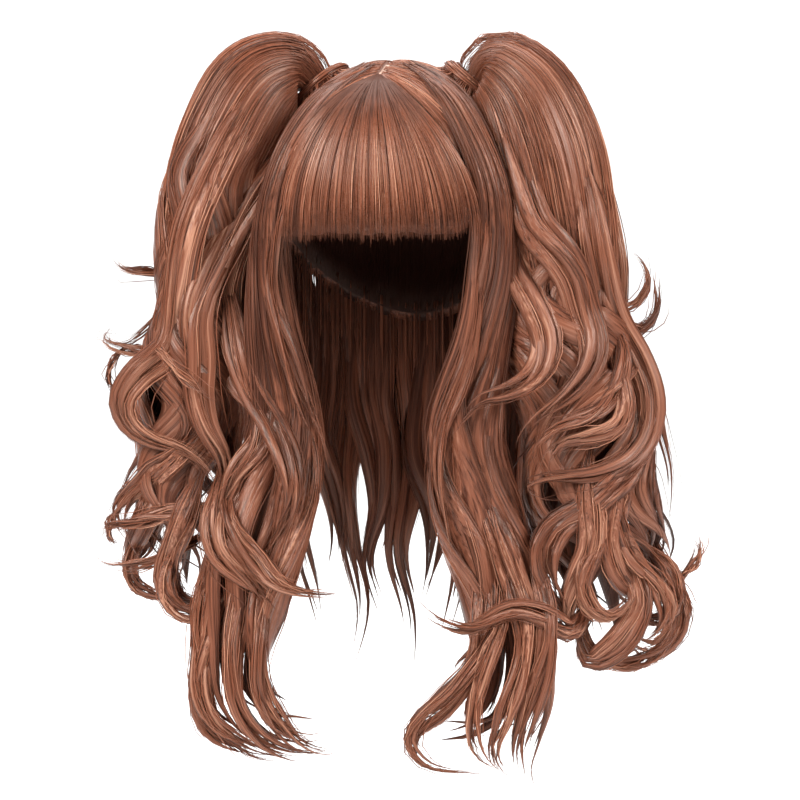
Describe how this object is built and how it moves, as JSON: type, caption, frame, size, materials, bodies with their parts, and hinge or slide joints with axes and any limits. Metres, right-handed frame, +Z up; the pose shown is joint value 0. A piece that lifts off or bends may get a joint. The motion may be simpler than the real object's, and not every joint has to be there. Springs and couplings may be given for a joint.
{
  "type": "pigtail wig",
  "caption": "Long wavy wig with a straight fringe and a high curly pigtail at each side of the crown, hollow underneath for a head.",
  "frame": {"origin": "inside top of the crown, where the wig sits on the top of the head", "axes": "+Z up, -Y the way the face looks, +X towards the wearer's left"},
  "size_m": [0.3939, 0.2302, 0.4908],
  "materials": {
    "hair": "glossy auburn synthetic hair fibre",
    "tie": "strands wound tight round the root of the pigtail",
    "parting_skin": "matte skin-toned strip under the parting"
  },
  "bodies": {
    "root": {"crown": "hair", "parting_strip": "parting_skin", "fringe": "hair", "right_tie": "tie", "left_tie": "tie", "right_pigtail": "hair", "left_pigtail": "hair", "right_side_hair": "hair", "left_side_hair": "hair", "back_hair": "hair"}
  },
  "joints": []
}
